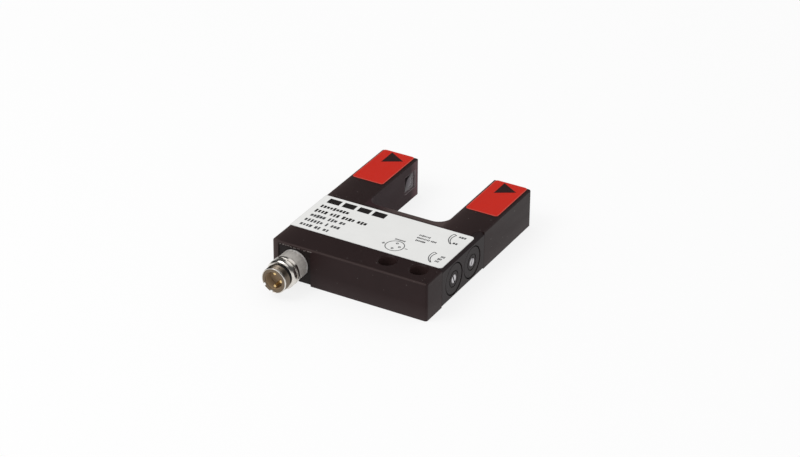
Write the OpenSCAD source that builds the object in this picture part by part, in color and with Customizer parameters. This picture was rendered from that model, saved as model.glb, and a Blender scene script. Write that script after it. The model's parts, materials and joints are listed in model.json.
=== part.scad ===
// Fork light sensor: a U-shaped housing with a light beam across its gap, a round plug connector
// at the front left and two rotary adjusters in the right side.
// Millimetres, +Z up. The origin lies on the underside, midway between the two mounting holes.
// +Y points from the connector towards the arm tips, +X towards the adjusters.

/* [Housing] */
// Width over both arms
body_w = 50; // [46:0.5:70]
// Thickness of the housing
body_t = 12; // [11.5:0.1:15]
// Depth of the base, from the front face to the bottom of the gap
base_d = 32; // [31.5:0.5:45]
// Depth of the gap between the arms
fork_depth = 30.5; // [28:0.5:60]
// Width of the gap between the arms
fork_gap = 25.5; // [20:0.5:27]
// Radius in the two inner corners of the gap
gap_r = 4; // [2:0.5:6]
// Radius of the upright outer edges
corner_r = 0.8; // [0.4:0.1:1.2]
// Thickness of the side walls
wall = 1.5; // [1.2:0.1:1.8]
// Thickness of the top wall
top_wall = 1.5; // [1.2:0.1:1.8]

/* [Bottom cover] */
// Thickness of the cover plate
cover_t = 1.3; // [1:0.1:1.4]
// Depth that the cover lies inside the housing's underside
cover_sink = 0.2; // [0.1:0.1:0.3]
// Width of the housing's rim around the cover
cover_rim = 0.8; // [0.6:0.1:0.9]

/* [Mounting holes] */
// Diameter of the two through holes
hole_d = 5.2; // [4.6:0.1:5.5]
// Distance between the two holes
hole_spacing = 10; // [9:0.5:12]
// Distance from a hole to the front and right faces
hole_edge = 6; // [5.5:0.1:6.5]
// Chamfer at the upper mouth of a hole
hole_chamfer = 0.3; // [0.1:0.1:0.5]
// Metal around a hole, inside the housing
boss_wall = 1.75; // [1.5:0.05:2]

/* [Connector block] */
// Left edge of the block, from the left face
block_x = 2; // [1.7:0.1:2.2]
// Width of the block
block_w = 10.5; // [10:0.1:11]
// Height of the block
block_h = 10.6; // [10:0.1:10.7]
// Length of the block into the housing
block_l = 8.7; // [7:0.1:9]
// Depth of the block's face behind the front face
block_sink = 0.3; // [0.1:0.1:0.6]
// Thickness of the top wall over the block
block_lip = 1; // [0.8:0.1:1.3]

/* [Connector] */
// Connector axis, above the underside; it lies midway across the block
plug_z = 6.05; // [5.8:0.05:6.2]
// Outer diameter of the frosted ring
ring_d = 8.7; // [8.6:0.1:9.2]
// Wall of the frosted ring around the shell
ring_wall = 0.7; // [0.6:0.05:0.9]
// Reach of the frosted ring in front of the housing
ring_reach = 3.9; // [3:0.1:4.4]
// Height of the light guide behind the frosted ring
guide_h = 1; // [0.8:0.1:1.2]
// Reach of the light guide behind the block
guide_reach = 1; // [0.5:0.1:1.2]
// Diameter of the metal collar
collar_d = 9.1; // [8.6:0.1:9.4]
// Length of the metal collar
collar_l = 3.7; // [3.4:0.1:5]
// Width of the two ring grooves in the collar
collar_groove_w = 0.45; // [0.3:0.05:0.6]
// Depth of the two ring grooves in the collar
collar_groove_depth = 0.4; // [0.2:0.05:0.5]
// Length of the ridge between the two ring grooves
collar_ridge_l = 1; // [0.6:0.1:1.2]
// Chamfer at the front of the collar
collar_chamfer = 0.5; // [0.2:0.1:0.5]
// Length of the groove between collar and thread
neck_l = 0.9; // [0.8:0.1:1.6]
// Diameter at the bottom of that groove
neck_d = 7; // [6.9:0.1:7.2]
// Thickness of the rubber ring in that groove
plug_seal_t = 0.2; // [0.1:0.05:0.3]
// Outer diameter of the thread
thread_d = 7.9; // [7.8:0.02:8]
// Length of the thread
thread_l = 2.5; // [2:0.1:4]
// Chamfer at the rim of the thread
rim_chamfer = 0.15; // [0.1:0.05:0.2]
// Width of the metal rim around the insulator's flange
rim_wall = 0.35; // [0.3:0.05:0.5]
// Thickness of the insulator's flange in the rim
flange_t = 0.4; // [0.3:0.05:0.6]
// Diameter of the shell inside the block and the frosted ring
barrel_d = 7.2; // [7:0.1:7.4]
// Diameter of the bore through the shell
shell_bore_d = 6.2; // [6:0.1:6.3]
// Diameter of the socket in the insulator
socket_d = 5.5; // [5.3:0.1:5.6]
// Depth of the socket in the insulator
socket_depth = 3; // [2.4:0.1:5]
// Width of the key notch in the rim
key_w = 3.4; // [2.8:0.1:3.8]
// Depth of the key notch in the rim
key_depth = 0.6; // [0.5:0.1:1.5]
// Width of the insulator's key bar in the middle of the key notch
key_bar_w = 2; // [1.2:0.1:2.2]
// Reach of the key bar from the connector's axis
key_bar_r = 3.7; // [3.5:0.05:3.75]
// Direction of the key notch, seen from the front, from +X towards +Z
key_angle = 235; // [200:5:250]

/* [Contacts] */
// Diameter of a contact pin
pin_d = 1; // [0.8:0.05:1.1]
// Radius of the circle that the contact pins stand on
pin_circle_r = 2; // [1.9:0.05:2]
// Depth of the pin tips behind the rim
pin_sink = 0.6; // [0.3:0.1:1.5]
// Length of the shortest pin behind the block
pin_tail = 1.6; // [1.4:0.1:2]
// Further length of each next higher pin
pin_tail_step = 1.2; // [1:0.1:1.5]
// Diameter of a lead from pin to board
lead_d = 0.8; // [0.6:0.05:0.9]

/* [Control panel] */
// Front end of the panel, from the front face
panel_y = 8.6; // [8.4:0.1:9]
// Length of the panel
panel_l = 24.8; // [24:0.1:26]
// Thickness of the panel
panel_t = 2.4; // [2.2:0.1:2.6]
// Height of the panel's lower edge above the underside
panel_sink = 0.5; // [0.3:0.1:0.6]
// Chamfer along the panel's top edge
panel_chamfer = 0.8; // [0.4:0.1:1]
// Radius of the panel's upright inner edges
panel_r = 2.2; // [1:0.1:2.3]

/* [Adjusters] */
// Middle between the two adjusters, from the front face
adjuster_y = 20.9; // [20.6:0.1:21.2]
// Distance between the two adjusters
adjuster_spacing = 10.6; // [10.4:0.1:10.8]
// Height of the adjuster axes above the underside
adjuster_z = 5.85; // [5.8:0.05:6]
// Diameter of the round pocket in the panel
pocket_d = 9.8; // [9.4:0.1:9.8]
// Depth of the round pocket in the panel
pocket_depth = 1.5; // [1.2:0.1:1.6]
// Diameter of the disc in the pocket
bezel_d = 9.2; // [8.4:0.1:9.2]
// Depth of the disc's face behind the right face
bezel_sink = 0.1; // [0:0.05:0.4]
// Mean diameter of the ring groove in the disc
bezel_groove_d = 4.8; // [4.2:0.1:6.4]
// Width and depth of the ring groove in the disc
bezel_groove = 0.25; // [0.2:0.05:0.5]
// Diameter of the slotted head
head_d = 2.7; // [2.4:0.1:3]
// Length of the slotted head
head_l = 1.1; // [0.9:0.1:1.15]
// Width of the screwdriver slot
slot_w = 0.5; // [0.4:0.05:0.7]
// Depth of the screwdriver slot
slot_depth = 0.5; // [0.3:0.05:0.7]
// Diameter of the spindle behind the head
spindle_d = 2; // [1.8:0.1:2]
// Diameter of the rotor at the spindle's inner end
rotor_d = 3.6; // [3:0.1:3.8]
// Thickness of the rotor
rotor_t = 1.8; // [1.4:0.1:2]
// Turn of the front spindle's slot from upright
front_slot_angle = 20; // [-60:5:60]
// Turn of the rear spindle's slot from upright
rear_slot_angle = -25; // [-60:5:60]
// Outer diameter of the rubber ring round a spindle
spindle_seal_d = 3.9; // [3.4:0.1:4]
// Width of a trimmer or switch, along the panel
trimmer_w = 6.6; // [6:0.1:7]
// Length of a trimmer or switch, away from the panel
trimmer_l = 6.4; // [6:0.1:7]
// Height of a trimmer or switch above the board
trimmer_h = 5; // [4.8:0.1:5.4]
// Wall of a trimmer or switch behind its rotor
trimmer_back = 1.2; // [0.8:0.1:1.4]

/* [Light windows] */
// Distance from the beam to the arm tips
beam_inset = 4.9; // [4.8:0.1:8]
// Height of the beam above the underside
beam_z = 6; // [5.9:0.05:6.1]
// Width of a window, along the arm
window_w = 5.8; // [4:0.1:5.8]
// Height of a window
window_h = 5.5; // [4:0.1:5.5]
// Depth of the pane behind the arm's inner face
pane_sink = 0.5; // [0.3:0.05:0.7]
// Width of the pane's flange behind the wall
pane_flange = 0.4; // [0.3:0.05:0.5]
// Thickness of the pane's flange
pane_flange_t = 0.9; // [0.6:0.1:1]
// Width and height of a diode's body
diode_w = 4; // [3:0.1:4.4]
// Length of a diode's body along the beam
diode_l = 2.6; // [2:0.1:3]
// Radius of the emitter's lens dome
dome_r = 1.4; // [1:0.1:1.5]

/* [Circuit board] */
// Height of the board's underside above the housing's underside
board_z = 2.5; // [2.4:0.05:2.55]
// Thickness of the board
board_t = 0.8; // [0.6:0.05:0.85]
// Gap between the board's edge and the walls
board_gap = 0.4; // [0.3:0.05:0.6]
// Gap between the board's edge and the panes in the arms
pane_gap = 0.5; // [0.3:0.05:0.8]
// Diameter of the posts that the board is screwed to
post_d = 3.4; // [3:0.1:3.8]
// Distance of the arm posts from the bottom of the gap
arm_post_y = 15; // [8:0.5:16]
// Diameter of a board screw
screw_d = 1.5; // [1.2:0.1:1.7]
// Diameter of a board screw's head
screw_head_d = 3; // [2.4:0.1:3.2]
// Height of a board screw's head
screw_head_h = 0.7; // [0.5:0.05:0.75]
// Length of a board screw below its head
screw_l = 4; // [3:0.1:5]

/* [Electronic parts] */
// Size of the signal chip
chip_size = [7, 5, 1.4]; // [1:0.1:8]
// Size of the output driver
driver_size = [6.5, 3.5, 1.6]; // [1:0.1:8]
// Size of the status lamp
led_size = [1.2, 1.2, 1.1]; // [0.8:0.1:1.4]
// Size of a chip resistor
resistor_size = [1.6, 0.8, 0.5]; // [0.3:0.1:2]
// Number of chip resistors
resistor_count = 5; // [2:1:6]
// Distance between chip resistors
resistor_pitch = 3; // [2.4:0.1:3.4]
// Diameter of a capacitor
capacitor_d = 4; // [3:0.1:4.6]
// Height of a capacitor
capacitor_h = 5.4; // [4:0.1:6]
// Distance between the two capacitors
capacitor_pitch = 6; // [5:0.1:7]

/* [Labels] */
// Thickness of the label film
film_t = 0.15; // [0.1:0.01:0.25]
// Front edge of the white label, from the front face
label_y = 9.4; // [9:0.1:10]
// Depth of the white label
label_d = 19.9; // [18:0.1:21]
// Strip left bare at the left end of the white label
label_left = 0.1; // [0.05:0.05:1]
// Corner radius of the white label's right corners
label_r = 1.1; // [0.5:0.1:2]
// Bare width of an arm beside its red label, both sides together
tip_label_bare = 1.8; // [1.4:0.05:3]
// Length of a red label
tip_label_l = 19.3; // [12:0.1:20]
// Strip left bare between a red label and the arm tip
tip_label_end = 0.2; // [0.2:0.05:1]
// Strip left bare at the left edge of the left and right red labels
tip_label_side = [0.65, 0.75]; // [0.2:0.05:1.3]
// Corner radius of a red label
tip_label_r = 0.9; // [0.5:0.1:2]

/* [Clearances] */
// Gap around pieces that are set into the housing
fit = 0.05; // [0.02:0.01:0.08]
// Radial running gap around the spindles
run_gap = 0.05; // [0.03:0.01:0.09]
// End gap at the faces of the spindles
end_gap = 0.3; // [0.2:0.05:0.35]
// Gap around the pins and screws in the board and the insulator
pin_gap = 0.05; // [0.02:0.01:0.1]

/* [Hidden] */
$fn = 96;
eps = 1; // reach of a cut past the face it opens
arm_w = (body_w - fork_gap) / 2;
body_d = base_d + fork_depth;
hole_x2 = body_w - hole_edge;
hole_x1 = hole_x2 - hole_spacing;
boss_r = hole_d / 2 + boss_wall;
boss_x = hole_x1 - boss_r;
boss_y = hole_edge + boss_r;
ceiling = body_t - top_wall;
cover_top = cover_sink + cover_t;
block_end = block_sink + block_l;
block_right = block_x + block_w;
block_top = body_t - block_lip;
block_bottom = block_top - block_h;
plug_x = block_x + block_w / 2;
ring_bore_d = ring_d - 2 * ring_wall;
guide_end = block_end + guide_reach;
flange_d = thread_d - 2 * rim_wall;
collar_front = ring_reach + collar_l;
neck_front = collar_front + neck_l;
plug_reach = neck_front + thread_l;
panel_x = body_w - panel_t;
pocket_floor = body_w - pocket_depth;
head_x = body_w - bezel_sink - head_l;
adjuster_ys = [adjuster_y - adjuster_spacing / 2, adjuster_y + adjuster_spacing / 2];
trimmer_x = panel_x - fit - trimmer_l;
rotor_cavity_x = trimmer_x + trimmer_back;
guide_z = board_z + board_t + led_size.z - guide_h;
rotor_x = rotor_cavity_x + end_gap;
rotor_cavity_l = rotor_t + 2 * end_gap;
board_top = board_z + board_t;
beam_y = body_d - beam_inset;
pane_back = arm_w - wall - pane_flange_t;
board_inner = pane_back - pane_gap;
board_arm_mid = (wall + board_gap + board_inner) / 2;
tip_label_w = arm_w - tip_label_bare;
label_w = body_w - panel_chamfer - label_left;
post_xy = [
    [(block_right + boss_x) / 2, wall + post_d],
    [wall + post_d, base_d - wall - post_d],
    [trimmer_x - 2 * post_d, base_d - wall - post_d],
    [board_arm_mid, base_d + arm_post_y],
    [body_w - board_arm_mid, base_d + arm_post_y]
];
pin_angles = [270, 0, 90];
parts_mid_y = (boss_y + base_d - wall) / 2;
black = [0.14, 0.12, 0.12];
dull_black = [0.10, 0.10, 0.10];
nickel = [0.78, 0.76, 0.72];
gold = [0.83, 0.66, 0.36];
red = [0.78, 0.13, 0.10];
green = [0.10, 0.32, 0.18];

// Moves body coordinates, which start at the front left bottom corner, to the origin of the part
module place() {
    translate([-(hole_x1 + hole_x2) / 2, -hole_edge, 0]) children();
}

module round_rect(w, d, r) {
    translate([r, 0]) square([w - 2 * r, d]);
    translate([0, r]) square([w, d - 2 * r]);
    for (x = [r, w - r], y = [r, d - r])
        translate([x, y]) circle(r = r);
}

// One concave corner of the gap, with its own corner at the origin
module gap_fillet(r) {
    difference() {
        square(r);
        translate([r, r]) circle(r = r);
    }
}

// Outline of the U, drawn in by an inset from all its edges
module u_plan(inset, r) {
    gap_w = fork_gap + 2 * inset;
    inner_y = base_d - inset;
    difference() {
        translate([inset, inset]) round_rect(body_w - 2 * inset, body_d - 2 * inset, r);
        translate([arm_w - inset, inner_y]) square([gap_w, body_d]);
    }
    translate([arm_w - inset, inner_y]) gap_fillet(gap_r + inset);
    translate([arm_w - inset + gap_w, inner_y]) mirror([1, 0]) gap_fillet(gap_r + inset);
}

// Solid corner around the mounting holes, grown by a gap
module boss_plan(gap) {
    translate([boss_x - gap, -eps]) square([body_w - boss_x + gap + eps, boss_y + gap + eps]);
}

// Place of the control panel in the right wall, grown by a gap
module panel_plan(gap) {
    translate([panel_x - gap, panel_y - gap])
        round_rect(panel_t + panel_r + gap + eps, panel_l + 2 * gap, panel_r + gap);
}

// Place of the connector block in the front left corner, grown by a gap
module block_plan(gap) {
    translate([-eps, -eps]) square([block_right + gap + eps, block_end + gap + eps]);
}

module cover_plan(gap) {
    difference() {
        u_plan(cover_rim + gap, corner_r);
        boss_plan(gap);
        panel_plan(gap);
        block_plan(gap);
    }
}

// A cylinder that lies along X
module rod_x(d, x, l) {
    translate([x, 0, 0]) rotate([0, 90, 0]) cylinder(d = d, h = l);
}

// A cylinder on the connector's axis, between two distances in front of the front face
module plug_rod(d, from, to) {
    translate([plug_x, -from, plug_z]) rotate([90, 0, 0]) cylinder(d = d, h = to - from);
}

module plug_cone(d_from, d_to, from, to) {
    translate([plug_x, -from, plug_z]) rotate([90, 0, 0]) cylinder(d1 = d_from, d2 = d_to, h = to - from);
}

module at_adjuster(i) {
    translate([0, adjuster_ys[i], adjuster_z]) children();
}

// Copies the left arm's piece to the right arm
module on_right_arm() {
    translate([body_w, 0, 0]) mirror([1, 0, 0]) children();
}

module mounting_hole(x) {
    mouth_d = hole_d + 2 * hole_chamfer;
    translate([x, hole_edge, -eps]) cylinder(d = hole_d, h = body_t + 2 * eps);
    translate([x, hole_edge, body_t - hole_chamfer]) cylinder(d1 = hole_d, d2 = mouth_d, h = hole_chamfer);
}

module window_cut() {
    translate([arm_w - wall - eps, beam_y - window_w / 2, beam_z - window_h / 2])
        cube([wall + 2 * eps, window_w, window_h]);
}

module cavity() {
    difference() {
        translate([0, 0, -eps]) linear_extrude(ceiling + eps) u_plan(wall, corner_r);
        translate([0, 0, -2 * eps]) linear_extrude(body_t + 2 * eps) boss_plan(0);
        for (p = post_xy)
            translate([p.x, p.y, board_top]) cylinder(d = post_d, h = body_t);
    }
}

module housing() {
    color(black) place() difference() {
        linear_extrude(body_t) u_plan(0, corner_r);
        cavity();
        translate([0, 0, -eps]) linear_extrude(cover_top + eps) cover_plan(0);
        translate([block_x, -eps, -eps]) cube([block_w, block_end + fit + eps, block_top + eps]);
        translate([0, 0, -eps]) linear_extrude(body_t + 2 * eps) panel_plan(0);
        window_cut();
        on_right_arm() window_cut();
        mounting_hole(hole_x1);
        mounting_hole(hole_x2);
        for (p = post_xy)
            translate([p.x, p.y, board_z]) cylinder(d = screw_d + 2 * pin_gap, h = screw_l + eps - board_t);
    }
}

module bottom_cover() {
    color(dull_black) place() translate([0, 0, cover_sink]) linear_extrude(cover_t) cover_plan(fit);
}

// Light guide behind the frosted ring, through the block to the status lamp, grown by a gap
module light_guide(gap) {
    intersection() {
        plug_rod(ring_d + 2 * gap, -guide_end, 0);
        translate([plug_x, 0, guide_z - gap]) cube([ring_d, guide_end, guide_h + 2 * gap]);
    }
}

module connector_block() {
    color(dull_black) place() difference() {
        translate([block_x + fit, block_sink, block_bottom + fit])
            cube([block_w - 2 * fit, block_l, block_h - 2 * fit]);
        plug_rod(barrel_d + 2 * fit, -block_end - eps, eps);
        light_guide(fit);
    }
}

module light_ring() {
    edge = ring_wall / 2;
    color([0.75, 0.75, 0.73, 0.8]) place() difference() {
        union() {
            plug_rod(ring_d, -block_sink, ring_reach - edge);
            plug_cone(ring_d, ring_d - 2 * edge, ring_reach - edge, ring_reach);
            light_guide(0);
        }
        plug_rod(ring_bore_d, -block_sink, ring_reach + eps);
        plug_rod(barrel_d + 2 * fit, -guide_end - eps, -block_sink);
    }
}

// A bar across the rim in the direction of the key, between two radii, behind the tip of the plug
module key_bar(w, r_from, r_to, from, depth) {
    translate([plug_x, -plug_reach + from, plug_z]) rotate([0, -key_angle, 0])
        translate([r_from, 0, -w / 2]) cube([r_to - r_from, depth, w]);
}

module collar() {
    groove_d = collar_d - 2 * collar_groove_depth;
    ridge_from = ring_reach + collar_groove_w;
    ridge_to = ridge_from + collar_ridge_l;
    main_from = ridge_to + collar_groove_w;
    plug_rod(groove_d, ring_reach, main_from);
    plug_rod(collar_d, ridge_from, ridge_to);
    plug_rod(collar_d, main_from, collar_front - collar_chamfer);
    plug_cone(collar_d, collar_d - 2 * collar_chamfer, collar_front - collar_chamfer, collar_front);
}

// Cut of the key notch through the rim
module key_notch() {
    key_bar(key_w, shell_bore_d / 4, collar_d, -eps, key_depth + eps);
}

module connector_shell() {
    color(nickel) place() difference() {
        union() {
            plug_rod(barrel_d, -block_end, -block_sink);
            plug_rod(ring_bore_d - 2 * fit, -block_sink, ring_reach);
            collar();
            plug_rod(neck_d, collar_front, neck_front);
            plug_rod(thread_d, neck_front, plug_reach - rim_chamfer);
            plug_cone(thread_d, thread_d - 2 * rim_chamfer, plug_reach - rim_chamfer, plug_reach);
        }
        plug_rod(shell_bore_d, -block_end - eps, plug_reach + eps);
        plug_rod(flange_d, plug_reach - flange_t, plug_reach + eps);
        key_notch();
    }
}

module connector_seal() {
    color(dull_black) place() difference() {
        plug_rod(neck_d + 2 * plug_seal_t, collar_front + fit, neck_front - fit);
        plug_rod(neck_d, collar_front - eps, neck_front + eps);
    }
}

module contact_pin_rod(i, d, tail) {
    a = pin_angles[i];
    translate([pin_circle_r * cos(a), 0, pin_circle_r * sin(a)])
        plug_rod(d, -block_end - tail, plug_reach - pin_sink);
}

module contact_carrier() {
    color([0.36, 0.27, 0.18]) place() difference() {
        union() {
            plug_rod(shell_bore_d, -block_end, plug_reach);
            difference() {
                plug_rod(flange_d, plug_reach - flange_t, plug_reach);
                key_notch();
            }
            key_bar(key_bar_w, shell_bore_d / 4, key_bar_r, 0, key_depth - fit);
        }
        plug_rod(socket_d, plug_reach - socket_depth, plug_reach + eps);
        for (i = [0 : len(pin_angles) - 1])
            contact_pin_rod(i, pin_d, eps);
    }
}

module contact_pins() {
    color(gold) place()
        for (i = [0 : len(pin_angles) - 1])
            contact_pin_rod(i, pin_d, pin_tail + i * pin_tail_step);
}

// Short upright leads from the tails of the pins to the board
module contact_leads() {
    color(nickel) place()
        for (i = [0 : len(pin_angles) - 1]) {
            a = pin_angles[i];
            lead_y = block_end + pin_tail + i * pin_tail_step - lead_d / 2;
            pin_bottom = plug_z + pin_circle_r * sin(a) - pin_d / 2;
            translate([plug_x + pin_circle_r * cos(a), lead_y, board_top])
                cylinder(d = lead_d, h = pin_bottom - board_top);
        }
}

module control_panel() {
    h = body_t - panel_sink;
    c = panel_chamfer;
    profile = [[0, 0], [panel_t, 0], [panel_t, h - c], [panel_t - c, h], [0, h]];
    color(black) place() difference() {
        intersection() {
            translate([panel_x, panel_y + panel_l, panel_sink]) rotate([90, 0, 0])
                linear_extrude(panel_l) polygon(profile);
            linear_extrude(body_t + eps) panel_plan(-fit);
        }
        for (i = [0, 1])
            at_adjuster(i) {
                rod_x(pocket_d, pocket_floor, pocket_depth + eps);
                rod_x(spindle_seal_d + 2 * fit, panel_x - eps, panel_t);
            }
    }
}

module bezel(i) {
    face_x = body_w - bezel_sink;
    color(dull_black) place() at_adjuster(i) difference() {
        rod_x(bezel_d, pocket_floor, face_x - pocket_floor);
        rod_x(head_d + 2 * run_gap, pocket_floor - eps, pocket_depth + 2 * eps);
        difference() {
            rod_x(bezel_groove_d + bezel_groove, face_x - bezel_groove, eps);
            rod_x(bezel_groove_d - bezel_groove, face_x - bezel_groove - eps, 3 * eps);
        }
    }
}

module sensitivity_bezel() {
    bezel(0);
}

module mode_bezel() {
    bezel(1);
}

// Slotted head, spindle and rotor in one piece
module spindle(i, slot_angle) {
    face_x = body_w - bezel_sink;
    color([0.88, 0.87, 0.84]) place() at_adjuster(i) difference() {
        union() {
            rod_x(head_d, head_x, head_l);
            rod_x(spindle_d, rotor_x, head_x - rotor_x);
            rod_x(rotor_d, rotor_x, rotor_t);
        }
        rotate([slot_angle, 0, 0]) translate([face_x - slot_depth, -slot_w / 2, -head_d])
            cube([slot_depth + eps, slot_w, 2 * head_d]);
    }
}

module sensitivity_spindle() {
    spindle(0, front_slot_angle);
}

module mode_spindle() {
    spindle(1, rear_slot_angle);
}

module spindle_seals() {
    color(dull_black) place()
        for (i = [0, 1])
            at_adjuster(i) difference() {
                rod_x(spindle_seal_d, panel_x, pocket_floor - panel_x);
                rod_x(spindle_d + 2 * run_gap, panel_x - eps, panel_t + 2 * eps);
            }
}

// Block on the board with a closed chamber for the rotor
module trimmer(i, tint) {
    color(tint) place() difference() {
        translate([trimmer_x, adjuster_ys[i] - trimmer_w / 2, board_top])
            cube([trimmer_l, trimmer_w, trimmer_h]);
        at_adjuster(i) {
            rod_x(rotor_d + 2 * run_gap, rotor_cavity_x, rotor_cavity_l);
            rod_x(spindle_d + 2 * run_gap, rotor_cavity_x, trimmer_l + eps);
        }
    }
}

module sensitivity_trimmer() {
    trimmer(0, [0.16, 0.30, 0.62]);
}

module mode_switch() {
    trimmer(1, [0.22, 0.22, 0.24]);
}

module board_plan() {
    difference() {
        u_plan(wall + board_gap, corner_r);
        boss_plan(board_gap);
        panel_plan(board_gap);
        block_plan(board_gap);
        translate([board_inner, base_d - wall]) square([body_w - 2 * board_inner, body_d]);
    }
}

module circuit_board() {
    color(green) place() difference() {
        translate([0, 0, board_z]) linear_extrude(board_t) board_plan();
        for (p = post_xy)
            translate([p.x, p.y, board_z - eps]) cylinder(d = screw_d + 2 * pin_gap, h = board_t + 2 * eps);
    }
}

module board_screws() {
    color(nickel) place()
        for (p = post_xy)
            translate([p.x, p.y, board_z]) {
                translate([0, 0, -screw_head_h]) cylinder(d = screw_head_d, h = screw_head_h);
                cylinder(d = screw_d, h = screw_l);
            }
}

// A diode's upright body on the board; its front faces the gap
module diode_body() {
    front = pane_back - dome_r - end_gap;
    translate([front - diode_l, beam_y - diode_w / 2, board_top])
        cube([diode_l, diode_w, beam_z + diode_w / 2 - board_top]);
}

module diode_dome() {
    front = pane_back - dome_r - end_gap;
    translate([0, beam_y, beam_z]) intersection() {
        translate([front, 0, 0]) sphere(r = dome_r);
        rod_x(3 * dome_r, front, 2 * dome_r);
    }
}

module emitter_diode() {
    color([0.75, 0.25, 0.22]) place() {
        diode_body();
        diode_dome();
    }
}

module receiver_diode() {
    color([0.12, 0.10, 0.14]) place() on_right_arm() {
        diode_body();
        diode_dome();
    }
}

// Clear pane in a window, with a flange behind the wall
module pane() {
    pane_w = window_w - 2 * fit;
    pane_h = window_h - 2 * fit;
    flange_w = window_w + 2 * pane_flange;
    flange_h = window_h + 2 * pane_flange;
    translate([pane_back, beam_y - pane_w / 2, beam_z - pane_h / 2])
        cube([arm_w - pane_sink - pane_back, pane_w, pane_h]);
    translate([pane_back, beam_y - flange_w / 2, beam_z - flange_h / 2])
        cube([pane_flange_t, flange_w, flange_h]);
}

module emitter_lens() {
    color([0.55, 0.52, 0.54, 0.7]) place() pane();
}

module receiver_lens() {
    color([0.55, 0.52, 0.54, 0.7]) place() on_right_arm() pane();
}

// A small block that stands on the board, centred on a point
module on_board(x, y, size) {
    translate([x - size.x / 2, y - size.y / 2, board_top]) cube(size);
}

module status_led() {
    guide_mid_r = (ring_d + barrel_d) / 4;
    guide_mid_z = plug_z - guide_z - guide_h / 2;
    led_x = plug_x + sqrt(guide_mid_r * guide_mid_r - guide_mid_z * guide_mid_z);
    color([0.95, 0.85, 0.45]) place()
        on_board(led_x, block_end + guide_reach + end_gap + led_size.y / 2, led_size);
}

module signal_chip() {
    color(dull_black) place() on_board(boss_x, parts_mid_y, chip_size);
}

module output_driver() {
    color(dull_black) place() on_board(boss_x - chip_size.x - driver_size.x / 2, parts_mid_y, driver_size);
}

module capacitors() {
    color([0.70, 0.62, 0.30]) place()
        for (i = [0, 1])
            translate([block_right + capacitor_pitch * (i + 0.5), block_end + capacitor_d, board_top])
                cylinder(d = capacitor_d, h = capacitor_h);
}

module resistors() {
    color([0.20, 0.20, 0.22]) place()
        for (i = [0 : resistor_count - 1])
            on_board(block_right + i * resistor_pitch, base_d - wall - post_d, resistor_size);
}

module type_label() {
    color([0.90, 0.90, 0.89]) place() translate([label_left, label_y, body_t]) linear_extrude(film_t) {
        round_rect(label_w, label_d, label_r);
        square([label_w / 2, label_d]);
    }
}

module tip_label(x) {
    color(red) place() translate([x, body_d - tip_label_end - tip_label_l, body_t])
        linear_extrude(film_t) round_rect(tip_label_w, tip_label_l, tip_label_r);
}

module emitter_label() {
    tip_label(tip_label_side[0]);
}

module receiver_label() {
    tip_label(body_w - arm_w + tip_label_side[1]);
}

housing();
bottom_cover();
connector_block();
light_ring();
connector_shell();
connector_seal();
contact_carrier();
contact_pins();
contact_leads();
control_panel();
sensitivity_bezel();
mode_bezel();
sensitivity_spindle();
mode_spindle();
spindle_seals();
sensitivity_trimmer();
mode_switch();
circuit_board();
board_screws();
emitter_diode();
receiver_diode();
emitter_lens();
receiver_lens();
status_led();
signal_chip();
output_driver();
capacitors();
resistors();
type_label();
emitter_label();
receiver_label();
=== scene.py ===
"""Looks of the fork light sensor: coated housing, plug connector, adjusters, panes and labels."""
import json
import math

import bmesh
import bpy
from mathutils import Matrix, Vector

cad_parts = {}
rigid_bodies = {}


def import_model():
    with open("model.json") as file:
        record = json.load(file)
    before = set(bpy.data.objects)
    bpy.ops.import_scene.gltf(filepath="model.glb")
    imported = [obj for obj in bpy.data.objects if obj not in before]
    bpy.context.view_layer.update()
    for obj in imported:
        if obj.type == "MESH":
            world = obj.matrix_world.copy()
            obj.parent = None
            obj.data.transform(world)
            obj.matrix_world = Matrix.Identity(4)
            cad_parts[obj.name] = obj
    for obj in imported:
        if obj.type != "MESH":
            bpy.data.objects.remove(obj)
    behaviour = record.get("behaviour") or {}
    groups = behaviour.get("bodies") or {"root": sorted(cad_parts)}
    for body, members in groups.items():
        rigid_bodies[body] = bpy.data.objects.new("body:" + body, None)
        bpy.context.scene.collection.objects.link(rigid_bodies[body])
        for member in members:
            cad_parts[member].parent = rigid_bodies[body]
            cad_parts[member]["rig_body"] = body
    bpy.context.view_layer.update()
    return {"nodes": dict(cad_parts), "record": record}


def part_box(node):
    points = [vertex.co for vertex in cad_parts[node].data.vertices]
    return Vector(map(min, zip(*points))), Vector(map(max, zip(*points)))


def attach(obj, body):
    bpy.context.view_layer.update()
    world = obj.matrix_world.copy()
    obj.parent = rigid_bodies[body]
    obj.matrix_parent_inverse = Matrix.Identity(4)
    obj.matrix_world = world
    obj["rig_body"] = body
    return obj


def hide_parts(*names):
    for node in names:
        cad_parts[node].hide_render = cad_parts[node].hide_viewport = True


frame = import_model()
nodes = frame["nodes"]
MM = 0.001


# Shader and geometry graphs

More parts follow.
